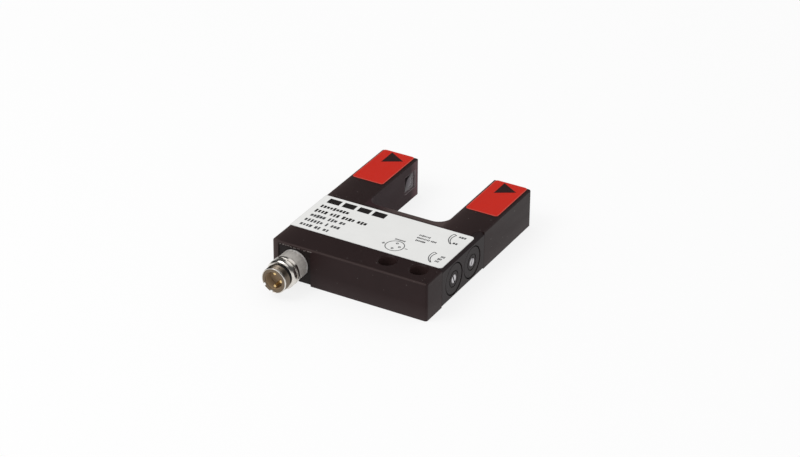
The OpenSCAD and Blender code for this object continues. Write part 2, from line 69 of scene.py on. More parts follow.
class Wire:
    """An output socket of a node. Sums and products on it add Math nodes to its graph."""

    def __init__(self, graph, socket):
        self.graph = graph
        self.socket = socket

    def math(self, operation, first, second):
        return self.graph.node("ShaderNodeMath", {"operation": operation}, {0: first, 1: second})

    def __add__(self, other):
        return self.math("ADD", self, other)

    def __radd__(self, other):
        return self.math("ADD", other, self)

    def __sub__(self, other):
        return self.math("SUBTRACT", self, other)

    def __rsub__(self, other):
        return self.math("SUBTRACT", other, self)

    def __mul__(self, other):
        return self.math("MULTIPLY", self, other)

    def __rmul__(self, other):
        return self.math("MULTIPLY", other, self)

    def __truediv__(self, other):
        return self.math("DIVIDE", self, other)

    def __rtruediv__(self, other):
        return self.math("DIVIDE", other, self)

    def __gt__(self, other):
        return self.math("GREATER_THAN", self, other)

    def __lt__(self, other):
        return self.math("LESS_THAN", self, other)

    def or_less(self, other):
        """The smaller of two values."""
        return self.math("MINIMUM", self, other)

    def or_more(self, other):
        """The larger of two values."""
        return self.math("MAXIMUM", self, other)


class Graph:
    """A node tree that is filled through one method."""

    def __init__(self, tree):
        self.tree = tree

    def node(self, kind, settings=None, inputs=None, out=0):
        """Adds a node: its settings first, then the values or links of its sockets."""
        made = self.tree.nodes.new(kind)
        for name, value in (settings or {}).items():
            setattr(made, name, value)
        for key, value in (inputs or {}).items():
            if isinstance(value, Wire):
                self.tree.links.new(value.socket, made.inputs[key])
            else:
                made.inputs[key].default_value = value
        return Wire(self, made.outputs[out]) if made.outputs else made

    def ramp(self, value, start, end, first=0.0, last=1.0):
        """Goes from first to last while the value goes from start to end, and is flat outside."""
        inputs = {"Value": value, "From Min": start, "From Max": end, "To Min": first, "To Max": last}
        return self.node("ShaderNodeMapRange", inputs=inputs)


class Finish(Graph):
    """A material around one Principled shader, its constant values on the shader's own sockets."""

    def __init__(self, name, constants):
        self.material = bpy.data.materials.new(name)
        self.material.use_nodes = True
        super().__init__(self.material.node_tree)
        self.shader = self.tree.nodes["Principled BSDF"]
        for socket, value in constants.items():
            self.shader.inputs[socket].default_value = value

    def feed(self, socket, wire):
        """Links a wire to one of the shader's sockets."""
        self.tree.links.new(wire.socket, self.shader.inputs[socket])

    def place(self, stretch=(1, 1, 1)):
        """Object coordinates in millimetres, stretched along the axes."""
        point = self.node("ShaderNodeTexCoord", out="Object")
        scale = [share / MM for share in stretch]
        return self.node("ShaderNodeMapping", inputs={"Vector": point, "Scale": scale})

    def axes(self):
        """The place along X, Y and Z in millimetres."""
        split = self.node("ShaderNodeSeparateXYZ", inputs={0: self.place()})
        return [Wire(self, part) for part in split.socket.node.outputs]

    def patches(self, size, detail=2.0, stretch=(1, 1, 1)):
        """Soft noise from 0 to 1 with patches of about that size in millimetres."""
        inputs = {"Vector": self.place(stretch), "Scale": 1 / size, "Detail": detail}
        return self.node("ShaderNodeTexNoise", inputs=inputs)

    def tint(self, share, first, second):
        """A colour between two colours, which may be wires."""
        ends = [c if isinstance(c, Wire) else (*c, 1.0) for c in (first, second)]
        return self.node("ShaderNodeMix", {"data_type": "RGBA"}, {0: share, 6: ends[0], 7: ends[1]}, out=2)

    def relief(self, height, depth):
        """Bump of a depth in millimetres."""
        self.feed("Normal", self.node("ShaderNodeBump", inputs={"Height": height, "Distance": depth * MM}))


# Finishes. Colours are linear, and sizes are in millimetres

COAT = (0.0194, 0.0088, 0.0089)
# Painted bounce light from the floor, lighter low down on the coat
COAT_FLOOR_BOUNCE = (0.037, 0.0245, 0.0245)
COAT_SPECK = (0.30, 0.28, 0.26)
# Painted light: the walls between the arms get a warmer tone of their own for the light in the gap
GAP_LIGHT_TONE = (0.030, 0.0115, 0.0145)
# Painted highlight on the front's left and top edges and along the top's rim
EDGE_HIGHLIGHT = (0.072, 0.050, 0.047)
# Painted light on the gap's walls towards the tips of the arms
TIP_LIGHT = (0.118, 0.060, 0.068)
# Painted light on the walls of the windows in the arms, which lie in shade
WINDOW_WALL_LIGHT = (0.18, 0.143, 0.148)
# Painted light on the walls of the mounting holes, lifting their shade
HOLE_WALL_LIGHT = (0.045, 0.026, 0.025)
SPECK_LEVEL = 0.84
SPECK_SHARE = 0.3
# Height over which the painted floor bounce fades out
FLOOR_BOUNCE_HEIGHT = 5.0
REACH = 0.02
WINDOW_DEPTH = 1.6
# Sizes and shares of the painted edge highlights
FRONT_EDGE = 0.42
STRIP_SHARE = 0.4
TOP_SHARE = 0.45
RIM_FALLOFF = 0.6
RIM_LEVEL = 0.3
RIM_STARTS = (4.0, 10.0)
# Width of the painted highlight on the frosted ring's rear rim
RING_HIGHLIGHT_WIDTH = 0.2
FROST_SWAY = 2.0
# Depth from the tip where the painted light inside the socket begins
SOCKET_FROM = 0.2
# Painted shade on the spindle heads: below this depth from the top, and from the first radius out to the
# second
SLOT_LIGHT = 0.15
HEAD_PALE_R = 0.95
HEAD_DARK_R = 1.35
# Reaches of the painted shadow at a pane's upper front corner and of the painted light at its far edges
PANE_SHADOW_REACH = (3.0, 5.2)
PANE_LIGHT_REACH = (0.3, 1.0)


def shade(colour, factor):
    """A colour made darker or brighter."""
    return tuple(channel * factor for channel in colour)


def moulded(name, colour, roughness, specular, grain=0.25, depth=0.006):
    """Plain plastic or lacquer: cloudy patches in the colour, fine grain in roughness and relief."""
    finish = Finish(name, {"Specular IOR Level": specular})
    clouds = finish.patches(5.0, 3.0)
    fine = finish.patches(grain, 2.0)
    finish.feed("Base Color", finish.tint(clouds, shade(colour, 0.75), shade(colour, 1.25)))
    finish.feed("Roughness", roughness + 0.2 * (fine - 0.5))
    finish.relief(fine, depth)
    return finish


def cast_coat():
    """Warm black coat on the casting: handling marks, a few pale specks, and painted light: floor bounce
    low down, highlights on edges, and tones of their own on the gap's walls, the tips, and the window and
    hole walls.
    """
    finish = Finish("cast_coat", {"Specular IOR Level": 0.16})
    clouds = finish.patches(9.0, 4.0)
    smears = finish.patches(3.0, 3.0, (1, 0.25, 1))
    fine = finish.patches(0.18, 2.0)
    specks = finish.patches(0.6, 0.0) > SPECK_LEVEL
    # Painted floor bounce: the coat grows lighter towards the bottom
    floor_bounce = finish.ramp(finish.axes()[2], 0.0, FLOOR_BOUNCE_HEIGHT, 1.0, 0.0)
    # The gap's walls take a painted light tone and more roughness
    walls = gap_walls(finish)
    layers = (
        (floor_bounce, COAT_FLOOR_BOUNCE), (SPECK_SHARE * specks, COAT_SPECK), (walls, GAP_LIGHT_TONE),
        (edge_highlights(finish), EDGE_HIGHLIGHT), (lit_tips(finish, walls), TIP_LIGHT),
        (window_edges(finish), WINDOW_WALL_LIGHT), (hole_walls(finish), HOLE_WALL_LIGHT))
    colour = finish.tint(clouds, shade(COAT, 0.8), shade(COAT, 1.2))
    for share, layer in layers:
        colour = finish.tint(share, colour, layer)
    finish.feed("Base Color", colour)
    finish.feed("Roughness", 0.42 + 0.12 * smears + 0.1 * (fine - 0.5) + 0.12 * walls)
    finish.relief(fine, 0.005)
    return finish


def window_edges(finish):
    """1 on the cut edges of the windows in the arms, where the coat takes painted light, else 0."""
    x, y, z = finish.axes()
    masks = []
    for lens, depth in (("emitter_lens", gap_left / MM - x), ("receiver_lens", x - gap_right / MM)):
        low, high = (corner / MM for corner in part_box(lens))
        sunk = (depth > REACH) * (depth < WINDOW_DEPTH)
        masks.append(sunk * (y > low.y) * (y < high.y) * (z > low.z) * (z < high.z))
    return masks[0].or_more(masks[1])


def edge_highlights(finish):
    """Up to 1 where highlights are painted on edges: the front's left and top edges, and the top's rim."""
    x, y, z = finish.axes()
    low, high = (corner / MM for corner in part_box("housing"))
    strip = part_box("connector_block")[0].x / MM
    beside = finish.ramp(x, low.x, strip, 1.0, STRIP_SHARE)
    left = beside * (x < strip) * (y < low.y + FRONT_EDGE * 2)
    top = TOP_SHARE * ((y - low.y) + (high.z - z) < FRONT_EDGE)
    started = finish.ramp(x - gap_left / MM, *RIM_STARTS)
    from_gap = (gap_floor / MM - y).or_more(x - gap_right / MM).or_more(0.0)
    by_gap = started * RIM_FALLOFF / (RIM_FALLOFF + from_gap)
    by_side = RIM_FALLOFF / (RIM_FALLOFF + (x - low.x).or_more(0.0))
    rim = by_gap.or_more(by_side) * (z > high.z - RIM_LEVEL)
    return left.or_more(top).or_more(rim)


def gap_walls(finish):
    """1 on the walls of the gap between the arms, else 0."""
    x, y, _ = finish.axes()
    between = (x > gap_left / MM - REACH) * (x < gap_right / MM + REACH)
    return between * (y > gap_floor / MM - REACH)


def lit_tips(finish, walls):
    """Rises from 0 to 1 on the gap's walls, from the middle of the panes to the tips: painted light,
    lighter towards the open ends of the arms.
    """
    low, high = (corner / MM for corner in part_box("emitter_lens"))
    return walls * finish.ramp(finish.axes()[1], (low.y + high.y) / 2, high.y)


def hole_walls(finish):
    """1 on the walls of the two mounting holes, which lie on both sides of the origin, where the coat
    takes painted light, else 0.
    """
    x, y, _ = finish.axes()
    holes = frame["record"]["mounts"][0]["dims"]
    reach = holes["hole_r_mm"] + REACH
    masks = []
    for side in (-0.5, 0.5):
        off = x - side * holes["spacing_x_mm"]
        masks.append(off * off + y * y < reach * reach)
    return masks[0].or_more(masks[1])


def frosted_plastic():
    """Milky clear plastic with a fine ground surface, streaks along it and a painted highlight along its
    rear rim.
    """
    finish = Finish("frosted_plastic", {
        "Transmission Weight": 0.45, "IOR": 1.49, "Specular IOR Level": 0.4})
    streaks = finish.patches(0.7, 3.0, (1, 0.25, 1))
    ground = finish.patches(0.12, 2.0)
    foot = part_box("connector_block")[0].y / MM
    # Painted highlight: the ring is pale along its rear rim
    rim = finish.axes()[1] + FROST_SWAY * streaks > foot + RING_HIGHLIGHT_WIDTH
    body = finish.tint(streaks, (0.46, 0.435, 0.405), (0.92, 0.87, 0.82))
    finish.feed("Base Color", finish.tint(rim, body, (1.0, 0.97, 0.94)))
    finish.feed("Roughness", 0.38 + 0.2 * ground)
    finish.relief(ground, 0.01)
    return finish


def nickel():
    """Bright plated metal with fine turning marks round the plug's axis and a duller thread."""
    finish = Finish("nickel", {"Metallic": 1.0})
    turning = finish.patches(0.05, 2.0, (0.02, 1, 0.02))
    stain = finish.patches(1.5, 3.0)
    along = finish.axes()[1]
    cut = (along < thread_rear) * (along > tip + FLANGE_T)
    bright = finish.tint(stain, (0.62, 0.58, 0.53), (0.82, 0.79, 0.75))
    finish.feed("Base Color", finish.tint(cut, bright, (0.17, 0.14, 0.11)))
    finish.feed("Roughness", 0.14 + 0.14 * turning + 0.14 * cut)
    finish.relief(turning, 0.003)
    return finish


def insulator():
    """Brown plastic, paler inside the socket than on the flange: painted light inside the deep socket."""
    finish = Finish("insulator_brown", {"Specular IOR Level": 0.3})
    clouds = finish.patches(2.0, 3.0)
    # Painted light: paler inside the socket, which lies in shade
    inside = finish.axes()[1] > tip + SOCKET_FROM
    colour = finish.tint(inside, (0.17, 0.123, 0.078), (0.42, 0.31, 0.20))
    finish.feed("Base Color", finish.tint(0.3 * clouds, colour, (0.05, 0.035, 0.02)))
    finish.feed("Roughness", 0.35 + 0.2 * clouds)
    finish.relief(clouds, 0.01)
    return finish


def slotted_head(node):
    """Pale plastic head of a spindle that turns about X, with painted shade round its edge and down in its
    slot.
    """
    finish = Finish(node + "_pale", {"Specular IOR Level": 0.5})
    low, high = (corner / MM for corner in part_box(node))
    along, across, level = finish.axes()
    across = across - (low.y + high.y) / 2
    level = level - (low.z + high.z) / 2
    # Painted shade below the top of the head, in its slot and on its side
    in_slot = along < high.x - SLOT_LIGHT
    clouds = finish.patches(0.8, 3.0)
    # Painted shade round the head's edge
    edge = finish.ramp(across * across + level * level, HEAD_PALE_R ** 2, HEAD_DARK_R ** 2)
    pale = finish.tint(clouds, (0.56, 0.54, 0.56), (0.74, 0.72, 0.74))
    finish.feed("Base Color", finish.tint(edge.or_more(in_slot), pale, (0.07, 0.065, 0.07)))
    finish.feed("Roughness", 0.3 + 0.15 * clouds)
    finish.relief(clouds, 0.006)
    return finish


def plated(name, colour, roughness):
    """Small metal parts with a slightly uneven plating."""
    finish = Finish(name, {"Metallic": 1.0})
    stain = finish.patches(0.6, 3.0)
    finish.feed("Base Color", finish.tint(stain, shade(colour, 0.8), colour))
    finish.feed("Roughness", roughness + 0.15 * stain)
    finish.relief(stain, 0.004)
    return finish


def pane_plastic(node, front):
    """Dark glossy pane, a little cloudy, with a painted shadow at its upper front corner and painted light
    at the far edges.
    """
    finish = Finish(node + "_plastic", {"Specular IOR Level": 0.0, "Coat Roughness": 0.25})
    low, high = (corner / MM for corner in face_span(node, front))
    _, y, z = finish.axes()
    near = (y - low.y) + (high.z - z)
    far = (high.y - y).or_less(z - low.z)
    # Painted shadow at the upper front corner, where the clear coat fades out too
    corner_shadow = finish.ramp(near, *PANE_SHADOW_REACH, 1.0, 0.0)
    # Painted light towards the far edges
    pale = finish.ramp(far, *PANE_LIGHT_REACH, 1.0, 0.0)
    clouds = finish.patches(1.5, 3.0)
    clear = finish.tint(clouds, (0.030, 0.021, 0.024), (0.042, 0.031, 0.035))
    edged = finish.tint(pale, clear, (0.082, 0.058, 0.066))
    finish.feed("Base Color", finish.tint(corner_shadow, edged, (0.018, 0.013, 0.014)))
    finish.feed("Roughness", 0.16 + 0.1 * clouds)
    finish.feed("Coat Weight", 1 - corner_shadow)
    finish.relief(clouds, 0.01)
    return finish


def edge_distance(finish, node):
    """Distance in millimetres from the nearest edge of a label that lies flat."""
    low, high = (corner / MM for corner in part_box(node))
    x, y, _ = finish.axes()
    sides = (x - low.x).or_less(high.x - x)
    ends = (y - low.y).or_less(high.y - y)
    return sides.or_less(ends)


def film(node, name, colour, rim_colour, rim_width, roughness):
    """Printed film with a slightly uneven colour and a band of another tone along its edges."""
    finish = Finish(name, {"Specular IOR Level": 0.1})
    clouds = finish.patches(7.0, 3.0)
    fine = finish.patches(0.3, 3.0)
    rim = edge_distance(finish, node) < rim_width
    body = finish.tint(clouds, shade(colour, 0.96), shade(colour, 1.04))
    finish.feed("Base Color", finish.tint(rim, body, rim_colour))
    finish.feed("Roughness", roughness + 0.12 * fine)
    finish.relief(fine, 0.004)
    return finish


def circuit_green():
    """Solder resist over straight copper tracks."""
    finish = Finish("circuit_green", {"Specular IOR Level": 0.5})
    place = finish.place()
    across = finish.node("ShaderNodeTexWave", {"bands_direction": "X"}, {"Vector": place, "Scale": 0.25})
    along = finish.node("ShaderNodeTexWave", {"bands_direction": "Y"}, {"Vector": place, "Scale": 0.2})
    tracks = (across > 0.8).or_more(along > 0.85)
    finish.feed("Base Color", finish.tint(tracks, (0.012, 0.085, 0.030), (0.030, 0.150, 0.055)))
    finish.feed("Roughness", 0.35 - 0.08 * tracks)
    finish.relief(tracks, 0.03)
    return finish


# Meshes

WELD = 0.002
FLAT = math.radians(0.3)
SHARP = math.radians(38)
EDGE_SEGMENTS = 3


def skin_of(node):
    """A copy of a node's mesh as one closed skin, its flat faces whole."""
    source = nodes[node].data
    flat = bpy.data.meshes.new("copy")
    flat.from_pydata([v.co for v in source.vertices], [], [list(p.vertices) for p in source.polygons])
    skin = bmesh.new()
    skin.from_mesh(flat)
    bpy.data.meshes.remove(flat)
    bmesh.ops.remove_doubles(skin, verts=skin.verts, dist=WELD * MM)
    bmesh.ops.dissolve_limit(skin, angle_limit=FLAT, verts=skin.verts, edges=skin.edges)
    return skin


def piece_from(skin, name, finish):
    """A new object from a skin, smooth except at its sharp edges."""
    bmesh.ops.recalc_face_normals(skin, faces=skin.faces)
    mesh = bpy.data.meshes.new(name)
    skin.to_mesh(mesh)
    skin.free()
    mesh.shade_smooth()
    mesh.set_sharp_from_angle(angle=SHARP)
    mesh.materials.append(finish.material)
    piece = bpy.data.objects.new(name, mesh)
    bpy.context.scene.collection.objects.link(piece)
    return piece


def settle(piece):
    """Turns the modifiers of a piece into plain mesh."""
    bpy.context.view_layer.update()
    result = piece.evaluated_get(bpy.context.evaluated_depsgraph_get())
    old = piece.data
    mesh = bpy.data.meshes.new_from_object(result)
    piece.modifiers.clear()
    piece.data = mesh
    bpy.data.meshes.remove(old)


def round_edges(piece, width):
    """Rounds the edges of a piece that carry a weight."""
    bevel = piece.modifiers.new("edges", "BEVEL")
    bevel.width = width * MM
    bevel.segments = EDGE_SEGMENTS
    bevel.limit_method = "WEIGHT"
    bevel.use_clamp_overlap = False
    bevel.harden_normals = True
    settle(piece)


def seat(piece, node, stands_for=True):
    """The piece rides on the node's body and, if asked, takes its place."""
    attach(piece, nodes[node]["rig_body"])
    if stands_for:
        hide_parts(node)
    return piece


def dress(node, finish, edge, chosen=None):
    """Replaces a node by its own skin with its sharp edges rounded, all or those that a test picks."""
    skin = skin_of(node)
    weight = skin.edges.layers.float.new("bevel_weight_edge")
    for line in skin.edges:
        picked = chosen is None or chosen([v.co for v in line.verts])
        line[weight] = float(picked and line.calc_face_angle(0) > SHARP)
    piece = piece_from(skin, node + "_finished", finish)
    round_edges(piece, edge)
    return seat(piece, node)


def paint(node, finish):
    """Gives a node that keeps its own mesh a new finish."""
    for material_slot in nodes[node].material_slots:
        material_slot.material = finish.material


def prism(skin, outline, low, high):
    """Adds an upright prism over a flat outline."""
    rings = [[skin.verts.new((x, y, z)) for x, y in outline] for z in (low, high)]
    skin.faces.new(rings[0][::-1])
    skin.faces.new(rings[1])
    for i in range(len(outline)):
        j = (i + 1) % len(outline)
        skin.faces.new((rings[0][i], rings[0][j], rings[1][j], rings[1][i]))


# Housing, cover, panel and discs

body_low, body_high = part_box("housing")
body_middle = (body_low + body_high) / 2
label_low, label_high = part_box("type_label")
places = [v.co for v in nodes["housing"].data.vertices]
tips = [co.x for co in places if co.y > body_high.y - WELD * MM]
gap_left = max(x for x in tips if x < body_middle.x)
gap_right = min(x for x in tips if x > body_middle.x)
gap_floor = min(co.y for co in places if gap_left < co.x < gap_right and co.y > label_high.y)
SKIN_DEPTH = 0.05
HOLE_CLEAR = 1.0
PANEL_CLEAR = 0.2
EDGE_ROUND = 0.45
EDGE_SHARES = {"window": 1.0, "outline": 0.9, "underside": 0.4, "seam": 0.13}


def gap_depth(co):
    """Distance of a place from the walls of the gap, below 0 inside the gap."""
    return max(gap_left - co.x, co.x - gap_right, gap_floor - co.y)


def on_outside(co):
    """True for a place on the outer faces of the housing."""
    around = min(co.x - body_low.x, body_high.x - co.x, co.y - body_low.y, body_high.y - co.y)
    return min(around, abs(gap_depth(co)), co.z - body_low.z, body_high.z - co.z) < SKIN_DEPTH * MM


def in_window(co):
    """True for a place within the outline of the panes."""
    low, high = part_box("emitter_lens")
    return low.y < co.y < high.y and low.z < co.z < high.z


def in_hole(co):
    """True for a place in the strip of the mounting holes, clear of the outline."""
    clear = HOLE_CLEAR * MM
    return body_low.y + clear < co.y < label_low.y and body_middle.x < co.x < body_high.x - clear


def at_panel(co):
    """True for a place on the edge of the cut for the control panel."""
    low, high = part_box("control_panel")
    clear = PANEL_CLEAR * MM
    return co.x > low.x - clear and low.y - clear < co.y < high.y + clear


def edge_kind(line):
    """Which edge of the housing a line is: window, outline, underside or seam."""
    ends = [v.co for v in line.verts]
    near = SKIN_DEPTH * MM

    def all_at(axis, value):
        return all(abs(co[axis] - value) < near for co in ends)

    if any(all_at(0, x) for x in (gap_left, gap_right)) and all(in_window(co) for co in ends):
        return "window"
    if all(in_hole(co) for co in ends) or all(at_panel(co) for co in ends):
        return "seam"
    if all_at(2, body_low.z):
        return "underside"
    in_gap = all(abs(gap_depth(co)) < near for co in ends)
    return "outline" if in_gap or all_at(2, body_high.z) else "seam"


def housing_piece(finish):
    """The housing with round edges on its outer faces, its closed inside left as it is."""
    skin = skin_of("housing")
    weight = skin.edges.layers.float.new("bevel_weight_edge")
    for line in skin.edges:
        if line.calc_face_angle(0) > SHARP and all(on_outside(v.co) for v in line.verts):
            line[weight] = EDGE_SHARES[edge_kind(line)]
    piece = piece_from(skin, "housing_finished", finish)
    round_edges(piece, EDGE_ROUND)
    return seat(piece, "housing")


coat = cast_coat()
panel_black = moulded("panel_black", (0.0165, 0.0098, 0.0104), 0.46, 0.16)
cover_black = moulded("cover_black", (0.0150, 0.0110, 0.0110), 0.55, 0.2, 0.4)
block_black = moulded("block_black", (0.0120, 0.0074, 0.0072), 0.5, 0.2, 0.5, 0.03)
disc_black = moulded("disc_black", (0.0165, 0.0105, 0.0112), 0.46, 0.16)
rubber = moulded("rubber", (0.010, 0.010, 0.010), 0.6, 0.2, 0.2, 0.01)

housing_piece(coat)
dress("bottom_cover", cover_black, edge=0.12)
dress("control_panel", panel_black, edge=0.06)
dress("connector_block", block_black, edge=0.1)
for adjuster in ("sensitivity", "mode"):
    dress(adjuster + "_bezel", disc_black, edge=0.08)
    dress(adjuster + "_spindle", slotted_head(adjuster + "_spindle"), edge=0.06)


# Panes with their lens bulges

PANE_CHAMFER = 0.5
LENS_R = 1.8
LENS_RISE = 0.3
LENS_SINK = 0.02
LENS_RINGS = 8
LENS_STEPS = 48


def lens_bulge(node, facing):
    """A shallow dome on a pane's face, closed at its base inside the pane."""
    low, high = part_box(node)
    middle = (low + high) / 2
    base = Vector((high.x if facing > 0 else low.x, middle.y, middle.z))
    skin = bmesh.new()
    for ring in range(LENS_RINGS + 1):
        share = ring / LENS_RINGS
        radius = LENS_R * share
        rise = LENS_RISE * (1 - share * share) - LENS_SINK
        for step in range(LENS_STEPS):
            turn = math.tau * step / LENS_STEPS
            offset = Vector((facing * rise, radius * math.cos(turn), radius * math.sin(turn)))
            skin.verts.new(base + offset * MM)
    skin.verts.ensure_lookup_table()
    rows = [skin.verts[i * LENS_STEPS:(i + 1) * LENS_STEPS] for i in range(LENS_RINGS + 1)]
    for inner, outer in zip(rows, rows[1:]):
        for i in range(LENS_STEPS):
            j = (i + 1) % LENS_STEPS
            skin.faces.new((inner[i], inner[j], outer[j], outer[i]))
    skin.faces.new(rows[-1])
    bmesh.ops.remove_doubles(skin, verts=skin.verts, dist=WELD * MM)
    return seat(piece_from(skin, node + "_bulge", lens_clear), node, stands_for=False)


def face_span(node, front):
    """Lowest and highest corners of a pane's flat face."""
    places = [v.co for v in nodes[node].data.vertices if abs(v.co.x - front) < WELD * MM]
    return [Vector(pick(co[axis] for co in places) for axis in range(3)) for pick in (min, max)]


def shadow_sides(node, front):
    """A test for the edges at the front and top of a pane's face, where it stands back from its window."""
    low, high = face_span(node, front)

    def test(ends):
        on_face = all(abs(co.x - front) < WELD * MM for co in ends)
        beside = all(abs(co.y - low.y) < WELD * MM for co in ends)
        above = all(abs(co.z - high.z) < WELD * MM for co in ends)
        return on_face and (beside or above)
    return test


# The lens is lighter than the pane around it: its own grey, partly a painted reflection
lens_clear = moulded("lens_clear", (0.088, 0.070, 0.082), 0.3, 0.45, 1.0, 0.004)
for lens, facing in (("emitter_lens", 1), ("receiver_lens", -1)):
    low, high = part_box(lens)
    front = high.x if facing > 0 else low.x
    dress(lens, pane_plastic(lens, front), PANE_CHAMFER, shadow_sides(lens, front))
    lens_bulge(lens, facing)


# Plug connector

TURN_STEPS = 128
THREAD_PITCH = 1.0
THREAD_DEPTH = 0.42
THREAD_FADE = 0.3
THREAD_ROWS = 36
FOOT_R = 3.6
COLLAR_R = 4.55
GROOVE_R = 4.15
GROOVE_W = 0.45
RIDGE_L = 1.0
COLLAR_CHAMFER = 0.5
NECK_R = 3.5
THREAD_R = 3.95
BORE_R = 3.1
RIM_CHAMFER = 0.15
SEAL_GAP = 0.05
FLANGE_R = 3.6
FLANGE_T = 0.4
EDGE = 0.06
EASE_SHARE = 0.45
KEY_W = 3.4
KEY_DEPTH = 0.6
KEY_PAST = 1.0
KEY_ANGLE = math.radians(235)

shell_low, shell_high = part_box("connector_shell")
seal_low, seal_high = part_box("connector_seal")
plug_axis = (shell_low + shell_high) / 2
rear = shell_high.y / MM
ring_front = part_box("light_ring")[0].y / MM
neck_rear = seal_high.y / MM + SEAL_GAP
thread_rear = seal_low.y / MM - SEAL_GAP
tip = shell_low.y / MM


def thread_radius(y, top):
    """Radius of a helical ridge at a place along the axis, as a function of the turn."""
    fade = max(0.0, min(1.0, (thread_rear - y) / THREAD_FADE, (y - tip - RIM_CHAMFER) / THREAD_FADE))

    def radius(turn):
        lead = (y / THREAD_PITCH + turn / math.tau) % 1.0
        return top - THREAD_DEPTH * fade * abs(2 * lead - 1)
    return radius


def eased(section, size):
    """A closed section with its corners cut by a small size, at most by EASE_SHARE of a side."""
    points = []
    for i, corner in enumerate(section):
        here = Vector(corner)
        for other in (section[i - 1], section[(i + 1) % len(section)]):
            away = Vector(other) - here
            points.append(here + away * min(size / away.length, EASE_SHARE))
    return [tuple(p) for p in points]


def shell_section():
    """Half section of the shell as (place along Y, radius) pairs, from the block round to the bore."""
    ridge_from = ring_front - GROOVE_W
    main_from = ridge_from - RIDGE_L - GROOVE_W
    turned_part = [
        (rear, BORE_R), (rear, FOOT_R), (ring_front, FOOT_R), (ring_front, GROOVE_R),
        (ridge_from, GROOVE_R), (ridge_from, COLLAR_R), (ridge_from - RIDGE_L, COLLAR_R),
        (ridge_from - RIDGE_L, GROOVE_R), (main_from, GROOVE_R), (main_from, COLLAR_R),
        (neck_rear + COLLAR_CHAMFER, COLLAR_R), (neck_rear, COLLAR_R - COLLAR_CHAMFER),
        (neck_rear, NECK_R), (thread_rear, NECK_R), (thread_rear, THREAD_R),
        (tip + RIM_CHAMFER, THREAD_R), (tip, THREAD_R - RIM_CHAMFER), (tip, FLANGE_R),
        (tip + FLANGE_T, FLANGE_R), (tip + FLANGE_T, BORE_R)]
    section = eased(turned_part, EDGE)
    crest, from_y = THREAD_R - WELD, thread_rear - EDGE - WELD
    start = max(i for i, (y, r) in enumerate(section) if r > crest and y > from_y)
    first = section[start][0]
    step = (tip + RIM_CHAMFER + EDGE - first) / THREAD_ROWS
    ridges = [first + step * row for row in range(1, THREAD_ROWS)]
    threaded = [(y, thread_radius(y, THREAD_R)) for y in ridges]
    return section[:start + 1] + threaded + section[start + 1:]


def turned(section):
    """Revolves a closed section about the plug's axis."""
    skin = bmesh.new()
    rows = []
    for step in range(TURN_STEPS):
        turn = math.tau * step / TURN_STEPS
        row = []
        for y, radius in section:
            r = radius(turn) if callable(radius) else radius
            row.append(skin.verts.new((
                plug_axis.x + r * math.cos(turn) * MM, y * MM, plug_axis.z + r * math.sin(turn) * MM)))
        rows.append(row)
    for step in range(TURN_STEPS):
        here, there = rows[step], rows[(step + 1) % TURN_STEPS]
        for i in range(len(section)):
            j = (i + 1) % len(section)
            skin.faces.new((here[i], here[j], there[j], there[i]))
    return skin


def cut_key(piece):
    """Cuts the key notch into the rim."""
    bar = bmesh.new()
    inner, outer, half = BORE_R / 2, COLLAR_R + KEY_PAST, KEY_W / 2
    prism(bar, [(inner, -half), (outer, -half), (outer, half), (inner, half)], -KEY_DEPTH, KEY_PAST)
    to_axis = Matrix.Translation((plug_axis.x, tip * MM, plug_axis.z)) @ Matrix.Scale(MM, 4)
    to_axis = to_axis @ Matrix.Rotation(-KEY_ANGLE, 4, "Y") @ Matrix.Rotation(math.radians(90), 4, "X")
    bar.transform(to_axis)
    cutter = piece_from(bar, "key_cutter", metal)
    cut = piece.modifiers.new("key", "BOOLEAN")
    cut.operation = "DIFFERENCE"
    cut.solver = "EXACT"
    cut.object = cutter
    settle(piece)
    bpy.data.objects.remove(cutter)


metal = nickel()
shell = piece_from(turned(shell_section()), "connector_shell_finished", metal)
cut_key(shell)
seat(shell, "connector_shell")
dress("light_ring", frosted_plastic(), edge=0.12)
dress("connector_seal", rubber, edge=0.15)
dress("contact_carrier", insulator(), edge=0.06)
dress("contact_pins", plated("gilt", (0.86, 0.62, 0.30), 0.15), edge=0.2)


# Beads of sealing resin in the seam over the connector block

BEAD_R = 0.17
BEAD_COUNT = 24
BEAD_RISE = 0.3
BEAD_SIDEWAYS = 0.5
BEAD_SPREAD = 0.35
BEAD_SHIFTS = ((-1, -0.2, -0.5), (1, 0.2, 0.5))
BEAD_SCALES = ((0.5, 0.4, 0.4), (1.8, 0.9, 1.0))
BEAD_SEED = 3
SCALE_SEED = 7


def named_tree(name, sockets):
    """An empty geometry tree with named inputs and one geometry output."""
    tree = bpy.data.node_groups.new(name, "GeometryNodeTree")
    for label, kind in sockets:
        tree.interface.new_socket(label, in_out="INPUT", socket_type=kind)
    tree.interface.new_socket("Geometry", in_out="OUTPUT", socket_type="NodeSocketGeometry")
    graph = Graph(tree)
    inlet = tree.nodes.new("NodeGroupInput")
    return graph, {label: Wire(graph, inlet.outputs[label]) for label, kind in sockets}


def close_tree(graph, geometry, material):
    """Realizes the instances, sets their material and ends the tree."""
    real = graph.node("GeometryNodeRealizeInstances", inputs={"Geometry": geometry})
    painted = graph.node("GeometryNodeSetMaterial", inputs={"Geometry": real, "Material": material})
    graph.node("NodeGroupOutput", inputs={"Geometry": painted})
    return graph.tree


def grow(piece, tree, values):
    """Runs a geometry tree on a piece with its inputs set by identifier, and keeps the plain mesh."""
    run = piece.modifiers.new("tree", "NODES")
    run.node_group = tree
    for socket in tree.interface.items_tree:
        if socket.in_out == "INPUT" and socket.name in values:
            run[socket.identifier] = values[socket.name]
    settle(piece)


